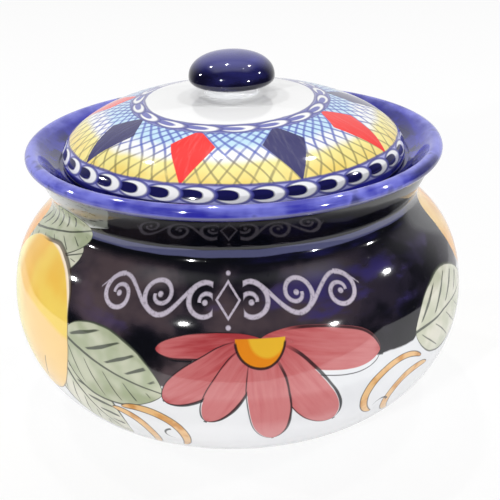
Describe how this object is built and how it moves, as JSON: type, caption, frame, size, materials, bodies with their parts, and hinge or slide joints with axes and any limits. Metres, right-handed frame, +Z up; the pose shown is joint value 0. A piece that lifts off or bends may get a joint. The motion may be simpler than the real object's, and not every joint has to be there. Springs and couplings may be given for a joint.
{
  "type": "biscuit jar",
  "caption": "Squat round-bellied glazed earthenware jar with a flared rim, and a domed lid with a mushroom knob that drops into a seat inside the rim.",
  "frame": {"origin": "middle of the foot ring's underside, on the table", "axes": "+Z up along the jar's axis of revolution, through the knob; -Y towards the front of the painted decoration"},
  "size_m": [0.2212, 0.2212, 0.1737],
  "materials": {
    "pot_glaze": "gloss glaze over hand-painted blue, white, yellow, green and red",
    "lid_glaze": "gloss glaze over hand-painted yellow, white and blue",
    "knob_glaze": "gloss dark blue glaze on a white stem"
  },
  "bodies": {
    "pot": {"jar_body": "pot_glaze"},
    "cover": {"lid": "lid_glaze", "knob": "knob_glaze"}
  },
  "joints": [
    {"name": "lid_lift", "type": "slide", "parent": "pot", "child": "cover", "axis": [0, 0, 1], "range_m": [0, 0.2]}
  ]
}
